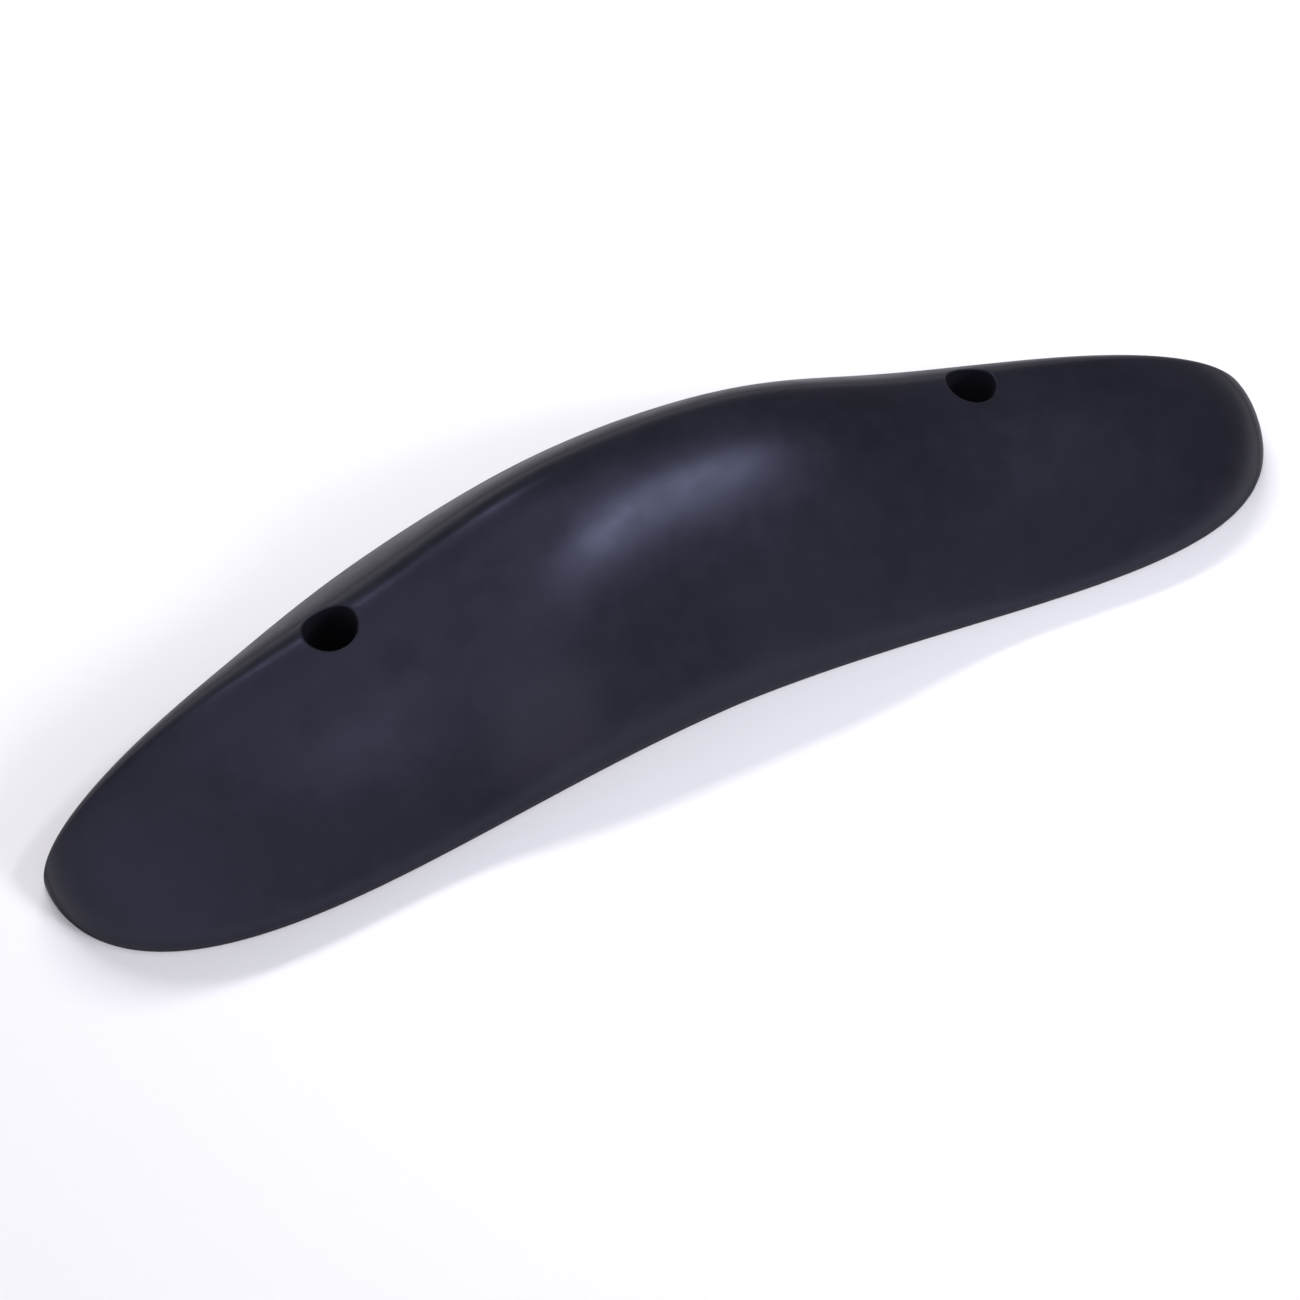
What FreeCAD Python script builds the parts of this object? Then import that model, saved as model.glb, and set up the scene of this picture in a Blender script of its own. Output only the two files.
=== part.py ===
import FreeCAD, Part
import math
import os

# Rubber speed bump: one domed rubber moulding with a flat base, and a steel bush and a steel
# washer moulded into each of its two fixing holes.
# Frame: millimetres, +X along the bump, +Y towards its steep side, +Z up.
# The origin is on the road, at the centre of the footprint's bounding box.

# ---- overall size ----
LENGTH = 820.0
HEIGHT = 107.0              # crest at mid length
EDGE_LAND = 3.0             # upright band round the foot of the moulding

# ---- plan: half-widths measured from the crest line ----
NEAR_WIDTH = 130.0          # crest to the foot of the gentle side, at mid length
NEAR_ROUND = 4.0            # higher is squarer ends
FAR_WIDTH = 89.0            # crest to the foot of the steep side, at mid length
FAR_TAPER = 0.50            # share of that width lost towards the ends
FAR_ROUND = 2.6
BEND = 69.0                 # how far the crest line has swung over at the ends
BEND_POWER = 1.73

# ---- crest height along the bump ----
LEG_SHARE = 0.66            # leg height over mid-length height
HUMP_SPREAD = 0.37          # half-length share covered by the hump
HUMP_POWER = 3.2
END_ROUND = 6.5             # higher is blunter ends

# ---- cross-section: a rounded ridge, straight flanks and a rounded foot ----
RIDGE_ROUND = 0.40          # ridge rounding at mid length, as a share of the half-width
RIDGE_EASE = 2.5            # how many times that is added at the ends, where the ridge fades out
NEAR_FULL = 1.50            # higher is a blunter foot
FAR_FULL = 1.05

# ---- fixing holes, for an M12 anchor bolt and its socket ----
HOLE_SPACING = 430.0
COUNTERBORE_R = 16.0
COUNTERBORE_FLOOR = 12.0    # height of the washer's top face above the road
BOLT_HOLE_R = 7.0
BUSH_R = 9.0
WASHER_R = 20.0
WASHER_THICKNESS = 3.0

# ---- fineness of the moulded surface ----
STATIONS = 61
ACROSS = 33
TIP_ANGLE = 0.02            # radians short of the very tip, where the sections would vanish


def crest_offset(u):
    """Sideways position of the crest line before the part is centred."""
    return -BEND * abs(u) ** BEND_POWER


def near_width(u):
    return NEAR_WIDTH * math.sqrt(1.0 - abs(u) ** NEAR_ROUND)


def far_width(u):
    return FAR_WIDTH * (1.0 - FAR_TAPER * u * u) * math.sqrt(1.0 - abs(u) ** FAR_ROUND)


def crest_rise(u):
    """Height of the crest above the top of the edge land."""
    hump = math.exp(-(abs(u) / HUMP_SPREAD) ** HUMP_POWER)
    along = LEG_SHARE + (1.0 - LEG_SHARE) * hump
    return (HEIGHT - EDGE_LAND) * along * math.sqrt(1.0 - abs(u) ** END_ROUND)


def section(u, v):
    """Share of the crest height at v, from 1 on the ridge to 0 at either foot."""
    ease = RIDGE_ROUND * (1.0 + RIDGE_EASE * u ** 4)
    fall = math.sqrt(v * v + ease * ease) - ease
    full = math.sqrt(1.0 + ease * ease) - ease
    return max(0.0, 1.0 - fall / full) ** (1.0 / (NEAR_FULL if v < 0 else FAR_FULL))


def surface_point(u, v, shift):
    """Point on the dome; u runs -1..1 along the bump, v from -1 (gentle foot) to 1 (steep foot)."""
    width = near_width(u) if v < 0 else far_width(u)
    return FreeCAD.Vector(u * LENGTH / 2.0, crest_offset(u) + v * width + shift,
                          EDGE_LAND + crest_rise(u) * section(u, v))


def centring_shift():
    """Moves the footprint so that its bounding box is centred on Y = 0."""
    us = [i / 500.0 for i in range(500)]
    low = min(crest_offset(u) - near_width(u) for u in us)
    high = max(crest_offset(u) + far_width(u) for u in us)
    return -(low + high) / 2.0


def dome_body(shift):
    """Closed solid under the dome: moulded top, upright edge land, flat base."""
    reach = math.pi / 2.0 - TIP_ANGLE
    grid = []
    for i in range(STATIONS):
        u = math.sin(reach * (2.0 * i / (STATIONS - 1) - 1.0))
        row = []
        for j in range(ACROSS):
            v = math.sin(math.pi / 2.0 * (2.0 * j / (ACROSS - 1) - 1.0))
            row.append(surface_point(u, v, shift))
        grid.append(row)
    top = Part.BSplineSurface()
    top.interpolate(grid)
    prism = top.toShape().extrude(FreeCAD.Vector(0, 0, -2.0 * HEIGHT))
    if prism.Volume < 0:
        prism.reverse()
    above_road = Part.makeBox(2.0 * LENGTH, LENGTH, 2.0 * HEIGHT,
                              FreeCAD.Vector(-LENGTH, -LENGTH / 2.0, 0.0))
    return prism.common(above_road).Solids[0]


def cylinder(radius, low, high, x, y):
    return Part.makeCylinder(radius, high - low, FreeCAD.Vector(x, y, low))


def tube(outer, inner, low, high, x, y):
    return cylinder(outer, low, high, x, y).cut(cylinder(inner, low - 1, high + 1, x, y))


def build():
    shift = centring_shift()
    washer_foot = COUNTERBORE_FLOOR - WASHER_THICKNESS
    body = dome_body(shift)
    parts = {}
    for side, sign in (("left", -1.0), ("right", 1.0)):
        x = sign * HOLE_SPACING / 2.0
        y = crest_offset(2.0 * x / LENGTH) + shift
        body = body.cut(cylinder(COUNTERBORE_R, COUNTERBORE_FLOOR, 2 * HEIGHT, x, y))
        body = body.cut(cylinder(WASHER_R, washer_foot, COUNTERBORE_FLOOR, x, y))
        body = body.cut(cylinder(BUSH_R, -1.0, washer_foot, x, y))
        parts[side + "_load_washer"] = tube(WASHER_R, BOLT_HOLE_R, washer_foot,
                                            COUNTERBORE_FLOOR, x, y)
        parts[side + "_bush"] = tube(BUSH_R, BOLT_HOLE_R, 0.0, washer_foot, x, y)
    parts["rubber_body"] = body
    return parts


os.makedirs("parts", exist_ok=True)
for node, shape in build().items():
    shape.exportStep("parts/" + node + ".step")
    box = shape.BoundBox
    print(node, "valid", shape.isValid(), "solids", len(shape.Solids),
          "volume %.0f" % shape.Volume,
          "box %.2f..%.2f %.2f..%.2f %.2f..%.2f" % (box.XMin, box.XMax, box.YMin, box.YMax,
                                                    box.ZMin, box.ZMax))
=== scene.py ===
import math

import bmesh
import bpy
from mathutils import Matrix, Vector
from mathutils.geometry import tessellate_polygon


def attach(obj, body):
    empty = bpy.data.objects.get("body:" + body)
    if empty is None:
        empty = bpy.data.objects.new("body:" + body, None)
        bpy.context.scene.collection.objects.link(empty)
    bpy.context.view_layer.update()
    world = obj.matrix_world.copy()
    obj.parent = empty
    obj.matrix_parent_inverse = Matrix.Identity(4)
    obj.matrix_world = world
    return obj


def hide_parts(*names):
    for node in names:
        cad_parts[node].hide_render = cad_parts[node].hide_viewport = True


# Rubber speed bump on a pale studio floor. Sizes below are millimetres, turned into metres by MM.
MM = 0.001

# ---- the moulding, as in the CAD part ----
LENGTH = 820.0
HEIGHT = 107.0
EDGE_LAND = 3.0
NEAR_WIDTH = 130.0
NEAR_ROUND = 4.0
FAR_WIDTH = 89.0
FAR_TAPER = 0.50
FAR_ROUND = 2.6
BEND = 69.0
BEND_POWER = 1.73
LEG_SHARE = 0.66
HUMP_SPREAD = 0.37
HUMP_POWER = 3.2
END_ROUND = 6.5
RIDGE_ROUND = 0.40
RIDGE_EASE = 2.5
NEAR_FULL = 1.50
FAR_FULL = 1.05
HOLE_SPACING = 430.0
COUNTERBORE_R = 16.0
COUNTERBORE_FLOOR = 12.0
BUSH_R = 9.0
WASHER_R = 20.0
WASHER_THICKNESS = 3.0
TIP_ANGLE = 0.02

# ---- detail the CAD leaves out ----
INSET = 0.99995             # scale that keeps the finer mesh inside the CAD box
RIM_ROUND = 1.2             # radius moulded on the mouth of each fixing hole
STATIONS = 281
ACROSS = 121
PATCH_REACH = 30.0          # half-size of the remeshed patch round each hole
PATCH_RINGS = 12
PATCH_EASE = 1.3            # above 1, the rings get closer together towards the hole
WALL_RINGS = 10
RIM_TURNS = (22.5, 45.0, 67.5, 90.0)        # degrees round the moulded mouth
WELD = 0.000001             # metres; vertices closer than this are merged
CREASE = 40                 # degrees; sharper edges are shaded sharp

# ---- colours, linear ----
RUBBER_DARK = (0.0085, 0.0085, 0.0135, 1)
RUBBER_LIGHT = (0.0115, 0.0115, 0.0180, 1)
RUBBER_MOTTLE = (0.0150, 0.0145, 0.0220, 1)
RUBBER_PALE_PATCH = (0.0200, 0.0190, 0.0270, 1)
RUBBER_SHEEN = (0.66, 0.67, 1.0, 1)         # tint of the rubber's highlights
ROAD_DUST = (0.045, 0.043, 0.050, 1)
ZINC_DARK = (0.30, 0.31, 0.33, 1)
ZINC_LIGHT = (0.42, 0.43, 0.45, 1)
ZINC_GRIME = (0.10, 0.095, 0.09, 1)
FLOOR_DARK = (0.90, 0.895, 0.92, 1)
FLOOR_LIGHT = (0.92, 0.915, 0.94, 1)

# ---- wear ----
PALE_PATCH_CENTRE = (-0.119, -0.081, 0.041)      # metres; a paler patch low on the gentle side
PALE_PATCH_REACH = 0.045

# ---- studio, metres ----
FLOOR = 12.0                # half-width of the floor
FLOOR_GAP = 0.0003          # clearance under the bump, so that the two faces don't coincide
AIM_HEIGHT = 0.05           # point the softboxes face
WORLD_TINT = (0.94, 0.93, 1.0, 1)
WORLD_SPAN = (-0.2, 0.95)   # cosines between which the surroundings brighten

# ---- camera ----
CAMERA_TURN = 31.65         # degrees between the bump's length and the picture's horizon
CAMERA_TILT = 54.22         # degrees below the horizon
CAMERA_ROLL = 4.67          # degrees anticlockwise
CAMERA_DISTANCE = 1482.2
CAMERA_ASIDE = (10.1, -63.4)
FOCAL_PER_WIDTH = 1.8356
SENSOR = 36.0

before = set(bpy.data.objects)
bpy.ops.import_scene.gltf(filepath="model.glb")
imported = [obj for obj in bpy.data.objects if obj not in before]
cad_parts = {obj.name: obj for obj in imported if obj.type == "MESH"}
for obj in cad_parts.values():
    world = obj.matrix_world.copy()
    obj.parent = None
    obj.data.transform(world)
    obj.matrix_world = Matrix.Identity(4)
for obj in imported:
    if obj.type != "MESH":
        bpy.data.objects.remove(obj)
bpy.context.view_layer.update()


# ---------------------------------------------------------------- shape

def crest_offset(u):
    return -BEND * abs(u) ** BEND_POWER


def near_width(u):
    return NEAR_WIDTH * math.sqrt(max(0.0, 1.0 - abs(u) ** NEAR_ROUND))


def far_width(u):
    return (FAR_WIDTH * (1.0 - FAR_TAPER * u * u)
            * math.sqrt(max(0.0, 1.0 - abs(u) ** FAR_ROUND)))


def crest_rise(u):
    hump = math.exp(-(abs(u) / HUMP_SPREAD) ** HUMP_POWER)
    along = LEG_SHARE + (1.0 - LEG_SHARE) * hump
    return (HEIGHT - EDGE_LAND) * along * math.sqrt(max(0.0, 1.0 - abs(u) ** END_ROUND))


def centring_shift():
    us = [i / 500.0 for i in range(500)]
    low = min(crest_offset(u) - near_width(u) for u in us)
    high = max(crest_offset(u) + far_width(u) for u in us)
    return -(low + high) / 2.0


SHIFT = centring_shift()


def section(u, v):
    ease = RIDGE_ROUND * (1.0 + RIDGE_EASE * u ** 4)
    fall = math.sqrt(v * v + ease * ease) - ease
    full = math.sqrt(1.0 + ease * ease) - ease
    return max(0.0, 1.0 - fall / full) ** (1.0 / (NEAR_FULL if v < 0 else FAR_FULL))


def dome_point(u, v):
    width = near_width(u) if v < 0 else far_width(u)
    return (u * LENGTH / 2.0, crest_offset(u) + v * width + SHIFT,
            EDGE_LAND + crest_rise(u) * section(u, v))


def dome_height(x, y):
    u = 2.0 * x / LENGTH
    aside = y - SHIFT - crest_offset(u)
    width = near_width(u) if aside < 0 else far_width(u)
    return EDGE_LAND + crest_rise(u) * section(u, aside / width)


class Mesher:
    """Collects vertices and faces, in millimetres."""

    def __init__(self):
        self.verts, self.faces = [], []

    def add(self, point):
        self.verts.append(tuple(c * MM for c in point))
        return len(self.verts) - 1

    def ring(self, points):
        return [self.add(p) for p in points]

    def bridge(self, a, b, closed=True):
        count = len(a)
        for i in range(count if closed else count - 1):
            j = (i + 1) % count
            self.faces.append((a[i], a[j], b[j], b[i]))


def hole_rings(mesh, border, cx, cy):
    """Fills the patch inside border with rings down to the counterbore, then its walls."""
    angles = []
    for index in border:
        p = mesh.verts[index]
        angles.append(math.atan2(p[1] / MM - cy, p[0] / MM - cx))
    outer = [(mesh.verts[i][0] / MM, mesh.verts[i][1] / MM) for i in border]
    rim_r = COUNTERBORE_R + RIM_ROUND
    last = border
    for k in range(1, PATCH_RINGS + 1):
        t = (1.0 - k / PATCH_RINGS) ** PATCH_EASE
        points = []
        for (ox, oy), a in zip(outer, angles):
            x = (cx + rim_r * math.cos(a)) * (1 - t) + ox * t
            y = (cy + rim_r * math.sin(a)) * (1 - t) + oy * t
            points.append((x, y, dome_height(x, y)))
        ring = mesh.ring(points)
        mesh.bridge(last, ring)
        last = ring
    for turn in RIM_TURNS:
        fall = math.radians(turn)
        r = rim_r - RIM_ROUND * math.sin(fall)
        drop = RIM_ROUND * (1.0 - math.cos(fall))
        points = []
        for a in angles:
            x, y = cx + r * math.cos(a), cy + r * math.sin(a)
            points.append((x, y, dome_height(x, y) - drop))
        ring = mesh.ring(points)
        mesh.bridge(last, ring)
        last = ring
    tops = [mesh.verts[i][2] / MM for i in last]
    for k in range(1, WALL_RINGS + 1):
        t = k / WALL_RINGS
        points = [(cx + COUNTERBORE_R * math.cos(a), cy + COUNTERBORE_R * math.sin(a),
                   top * (1 - t) + COUNTERBORE_FLOOR * t) for a, top in zip(angles, tops)]
        ring = mesh.ring(points)
        mesh.bridge(last, ring)
        last = ring
    washer_foot = COUNTERBORE_FLOOR - WASHER_THICKNESS
    for r, z in ((WASHER_R, COUNTERBORE_FLOOR), (WASHER_R, washer_foot), (BUSH_R, washer_foot),
                 (BUSH_R, 0.0)):
        ring = mesh.ring([(cx + r * math.cos(a), cy + r * math.sin(a), z) for a in angles])
        mesh.bridge(last, ring)
        last = ring
    return last


def build_body():
    mesh = Mesher()
    reach = math.pi / 2.0 - TIP_ANGLE
    us = [math.sin(reach * (2.0 * i / (STATIONS - 1) - 1.0)) for i in range(STATIONS)]
    vs = [math.sin(math.pi / 2.0 * (2.0 * j / (ACROSS - 1) - 1.0)) for j in range(ACROSS)]
    grid = [[mesh.add(dome_point(u, v)) for v in vs] for u in us]

    patches = []
    for sign in (-1.0, 1.0):
        cx = sign * HOLE_SPACING / 2.0
        uc = 2.0 * cx / LENGTH
        cy = crest_offset(uc) + SHIFT
        near_limit, far_limit = -PATCH_REACH / near_width(uc), PATCH_REACH / far_width(uc)
        rows = [i for i, u in enumerate(us) if abs(u * LENGTH / 2.0 - cx) <= PATCH_REACH]
        cols = [j for j, v in enumerate(vs) if near_limit <= v <= far_limit]
        patches.append((cx, cy, rows[0], rows[-1], cols[0], cols[-1]))

    for i in range(STATIONS - 1):
        for j in range(ACROSS - 1):
            if any(i0 <= i < i1 and j0 <= j < j1 for _, _, i0, i1, j0, j1 in patches):
                continue
            mesh.faces.append((grid[i][j], grid[i + 1][j], grid[i + 1][j + 1], grid[i][j + 1]))

    bolt_rings = []
    for cx, cy, i0, i1, j0, j1 in patches:
        border = ([grid[i][j0] for i in range(i0, i1)] + [grid[i1][j] for j in range(j0, j1)]
                  + [grid[i][j1] for i in range(i1, i0, -1)]
                  + [grid[i0][j] for j in range(j1, j0, -1)])
        bolt_rings.append(hole_rings(mesh, border, cx, cy))

    outline = ([grid[i][0] for i in range(STATIONS)]
               + [grid[-1][j] for j in range(1, ACROSS)]
               + [grid[i][-1] for i in range(STATIONS - 2, -1, -1)]
               + [grid[0][j] for j in range(ACROSS - 2, 0, -1)])
    foot = mesh.ring([(mesh.verts[i][0] / MM, mesh.verts[i][1] / MM, 0.0) for i in outline])
    mesh.bridge(foot, outline)

    loops = [foot] + bolt_rings
    flat = [i for loop in loops for i in loop]
    for tri in tessellate_polygon([[Vector(mesh.verts[i]) for i in loop] for loop in loops]):
        mesh.faces.append(tuple(flat[k] for k in tri))

    data = bpy.data.meshes.new("rubber_moulding")
    data.from_pydata(mesh.verts, [], mesh.faces)
    data.validate()
    bm = bmesh.new()
    bm.from_mesh(data)
    bmesh.ops.remove_doubles(bm, verts=bm.verts, dist=WELD)
    bmesh.ops.recalc_face_normals(bm, faces=bm.faces)
    bm.to_mesh(data)
    bm.free()
    data.transform(Matrix.Scale(INSET, 4))
    data.shade_smooth()
    data.set_sharp_from_angle(angle=math.radians(CREASE))
    body = bpy.data.objects.new("rubber_moulding", data)
    bpy.context.scene.collection.objects.link(body)
    return body


# ---------------------------------------------------------------- materials

class Nodes:
    """Short-hand for building a node tree."""

    def __init__(self, name):
        self.material = bpy.data.materials.new(name)
        self.material.use_nodes = True
        self.tree = self.material.node_tree
        self.tree.nodes.clear()

    def node(self, kind, inputs=None, **settings):
        node = self.tree.nodes.new(kind)
        for key, value in settings.items():
            setattr(node, key, value)
        for key, value in (inputs or {}).items():
            socket = node.inputs[key]
            if isinstance(value, bpy.types.NodeSocket):
                self.tree.links.new(value, socket)
            else:
                socket.default_value = value
        return node

    def noise(self, vector, scale, detail=3.0, rough=0.5):
        inputs = {"Vector": vector, "Scale": scale, "Detail": detail, "Roughness": rough}
        return self.node("ShaderNodeTexNoise", inputs).outputs["Fac"]

    def span(self, value, low, high, to_low=0.0, to_high=1.0):
        inputs = {"Value": value, "From Min": low, "From Max": high,
                  "To Min": to_low, "To Max": to_high}
        return self.node("ShaderNodeMapRange", inputs).outputs[0]

    def math(self, operation, a, b=0.0):
        return self.node("ShaderNodeMath", {0: a, 1: b}, operation=operation).outputs[0]

    def mix(self, factor, a, b):
        node = self.node("ShaderNodeMix", data_type="RGBA")
        for socket, value in ((node.inputs[0], factor), (node.inputs[6], a), (node.inputs[7], b)):
            if isinstance(value, bpy.types.NodeSocket):
                self.tree.links.new(value, socket)
            else:
                socket.default_value = value
        return node.outputs[2]

    def finish(self, shader):
        self.node("ShaderNodeOutputMaterial", {"Surface": shader.outputs[0]})
        return self.material


def rubber():
    """Satin black rubber: tone varies broadly and in small mottles, with a fine grain."""
    n = Nodes("moulded_rubber")
    place = n.node("ShaderNodeTexCoord").outputs["Object"]
    height = n.node("ShaderNodeSeparateXYZ", {0: place}).outputs["Z"]
    cloud = n.noise(place, 9.0, 4.0, 0.6)
    mottle = n.noise(place, 60.0, 3.0, 0.6)
    grain = n.noise(place, 1400.0, 2.0, 0.5)
    fleck = n.noise(place, 420.0, 2.0, 0.6)
    shade = n.mix(n.span(cloud, 0.35, 0.65), RUBBER_DARK, RUBBER_LIGHT)
    shade = n.mix(n.span(mottle, 0.42, 0.75, 0.0, 0.5), shade, RUBBER_MOTTLE)
    # a paler patch with an uneven edge
    away = n.node("ShaderNodeVectorMath", {0: place, 1: PALE_PATCH_CENTRE},
                  operation="DISTANCE").outputs["Value"]
    away = n.math("ADD", away, n.span(cloud, 0.3, 0.7, -0.014, 0.014))
    pale_patch = n.span(away, PALE_PATCH_REACH, 0.3 * PALE_PATCH_REACH)
    shade = n.mix(pale_patch, shade, RUBBER_PALE_PATCH)
    # dust just above the road
    dust = n.math("MULTIPLY", n.span(height, 0.0, 0.008, 0.22, 0.0), n.span(fleck, 0.45, 0.7))
    shade = n.mix(dust, shade, ROAD_DUST)
    rough = n.span(cloud, 0.3, 0.7, 0.29, 0.36)
    rough = n.math("ADD", rough, n.span(mottle, 0.3, 0.7, -0.03, 0.05))
    # the gloss is turned down where the surface is seen edge-on, which keeps the edges dark
    edge_on = n.node("ShaderNodeLayerWeight", {"Blend": 0.5}).outputs["Facing"]
    gloss = n.span(edge_on, 0.06, 0.66, 0.5, 0.02)
    wave = n.node("ShaderNodeBump", {"Height": mottle, "Strength": 0.25, "Distance": 0.0004})
    pore = n.node("ShaderNodeBump", {"Height": grain, "Strength": 0.35, "Distance": 0.00012,
                                     "Normal": wave.outputs[0]})
    return n.finish(n.node("ShaderNodeBsdfPrincipled", {
        "Base Color": shade, "Roughness": rough, "IOR": 1.5, "Specular IOR Level": gloss,
        "Specular Tint": RUBBER_SHEEN, "Sheen Weight": 0.01, "Sheen Roughness": 0.5,
        "Normal": pore.outputs[0]}))


def zinc_steel():
    """Dull zinc plate with small crystals and some grime."""
    n = Nodes("zinc_steel")
    place = n.node("ShaderNodeTexCoord").outputs["Object"]
    spangle = n.node("ShaderNodeTexVoronoi", {"Vector": place, "Scale": 320.0}).outputs["Color"]
    tone = n.node("ShaderNodeSeparateColor", {0: spangle}).outputs[0]
    grime = n.noise(place, 110.0, 4.0, 0.6)
    shade = n.mix(tone, ZINC_DARK, ZINC_LIGHT)
    shade = n.mix(n.span(grime, 0.45, 0.7), shade, ZINC_GRIME)
    rough = n.span(grime, 0.3, 0.7, 0.35, 0.65)
    bump = n.node("ShaderNodeBump", {"Height": grime, "Strength": 0.3, "Distance": 0.0002})
    return n.finish(n.node("ShaderNodeBsdfPrincipled", {
        "Base Color": shade, "Metallic": 1.0, "Roughness": rough, "Normal": bump.outputs[0]}))


def pale_floor():
    n = Nodes("pale_floor")
    place = n.node("ShaderNodeTexCoord").outputs["Object"]
    shade = n.mix(n.noise(place, 3.0), FLOOR_DARK, FLOOR_LIGHT)
    return n.finish(n.node("ShaderNodeBsdfPrincipled", {
        "Base Color": shade, "Roughness": 0.9, "Specular IOR Level": 0.1}))


body = build_body()
body.data.materials.append(rubber())
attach(body, "root")
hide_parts("rubber_body")

steel = zinc_steel()
for side in ("left", "right"):
    for piece in ("bush", "load_washer"):
        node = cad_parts[side + "_" + piece]
        for slot in node.material_slots:
            slot.material = steel

# ---------------------------------------------------------------- studio

floor_data = bpy.data.meshes.new("floor")
floor_data.from_pydata([(-FLOOR, -FLOOR, 0), (FLOOR, -FLOOR, 0), (FLOOR, FLOOR, 0),
                        (-FLOOR, FLOOR, 0)], [], [(0, 1, 2, 3)])
floor = bpy.data.objects.new("floor", floor_data)
bpy.context.scene.collection.objects.link(floor)
floor.location.z = -FLOOR_GAP
floor_data.materials.append(pale_floor())


def area_lamp(name, place, rotation, size, power, colour, glossy):
    lamp = bpy.data.lights.new(name, "AREA")
    lamp.shape = "RECTANGLE"
    lamp.size, lamp.size_y = size
    lamp.energy = power
    lamp.color = colour
    obj = bpy.data.objects.new(name, lamp)
    obj.location = place
    obj.rotation_euler = rotation
    obj.visible_glossy = glossy
    obj.visible_camera = False
    bpy.context.scene.collection.objects.link(obj)


def softbox(name, azimuth, elevation, distance, size, power, colour, glossy=True):
    """Area light facing the middle of the bump; azimuth is from +X towards +Y, in degrees."""
    a, e = math.radians(azimuth), math.radians(elevation)
    aim = Vector((0, 0, AIM_HEIGHT))
    place = aim + distance * Vector((math.cos(e) * math.cos(a), math.cos(e) * math.sin(a),
                                     math.sin(e)))
    rotation = (aim - place).to_track_quat("-Z", "Y").to_euler()
    area_lamp(name, place, rotation, size, power, colour, glossy)


def back_tube(centre, size, power, colour):
    """Long lamp behind the bump and parallel to it, for the shadow on the near side."""
    tilt_back = (-math.atan2(centre[1], centre[2]), 0, 0)
    area_lamp("back_tube", centre, tilt_back, size, power, colour, glossy=False)


def studio_world(bright_toward, low, high):
    """Soft surroundings that brighten towards one direction."""
    world = bpy.data.worlds.new("studio")
    world.use_nodes = True
    tree = world.node_tree
    place = tree.nodes.new("ShaderNodeTexCoord")
    dot = tree.nodes.new("ShaderNodeVectorMath")
    dot.operation = "DOT_PRODUCT"
    dot.inputs[1].default_value = Vector(bright_toward).normalized()
    tree.links.new(place.outputs["Generated"], dot.inputs[0])
    span = tree.nodes.new("ShaderNodeMapRange")
    span.interpolation_type = "SMOOTHSTEP"
    for index, value in zip((1, 2, 3, 4), WORLD_SPAN + (low, high)):
        span.inputs[index].default_value = value
    tree.links.new(dot.outputs["Value"], span.inputs[0])
    back = tree.nodes["Background"]
    back.inputs[0].default_value = WORLD_TINT
    tree.links.new(span.outputs[0], back.inputs[1])
    bpy.context.scene.world = world


softbox("gloss_strip", -46, 67, 0.75, (0.32, 0.045), 1.50, (0.90, 0.93, 1.0))
softbox("gloss_tail", 105, 44, 1.1, (0.06, 0.25), 0.9, (0.80, 0.86, 1.0))
softbox("gloss_top", 70, 80, 1.2, (0.9, 0.4), 0.8, (0.88, 0.91, 1.0))
softbox("front_soft", -52, 33, 4.0, (0.9, 0.9), 57, (0.96, 0.95, 1.0), glossy=False)
back_tube((0.9, 3.6, 2.75), (3.4, 0.25), 150, (1.0, 0.97, 0.93))
studio_world((-0.8, -0.5, 0.35), 0.13, 0.84)
bpy.context.scene.view_settings.view_transform = "Standard"

# ---------------------------------------------------------------- camera

turn, tilt = math.radians(CAMERA_TURN), math.radians(CAMERA_TILT)
right = Vector((math.cos(turn), -math.sin(turn), 0))
level = Vector((math.sin(turn), math.cos(turn), 0))
look = level * math.cos(tilt) - Vector((0, 0, math.sin(tilt)))
upward = level * math.sin(tilt) + Vector((0, 0, math.cos(tilt)))
eye = (Vector((0, SHIFT, 0)) - CAMERA_DISTANCE * look + CAMERA_ASIDE[0] * right
       + CAMERA_ASIDE[1] * upward) * MM
camera_data = bpy.data.cameras.new("camera")
camera_data.sensor_width = SENSOR
camera_data.lens = SENSOR * FOCAL_PER_WIDTH
camera = bpy.data.objects.new("camera", camera_data)
bpy.context.scene.collection.objects.link(camera)
camera.location = eye
roll = Matrix.Rotation(math.radians(CAMERA_ROLL), 3, "Z")
camera.rotation_euler = (Matrix((right, upward, -look)).transposed() @ roll).to_euler()
bpy.context.scene.camera = camera
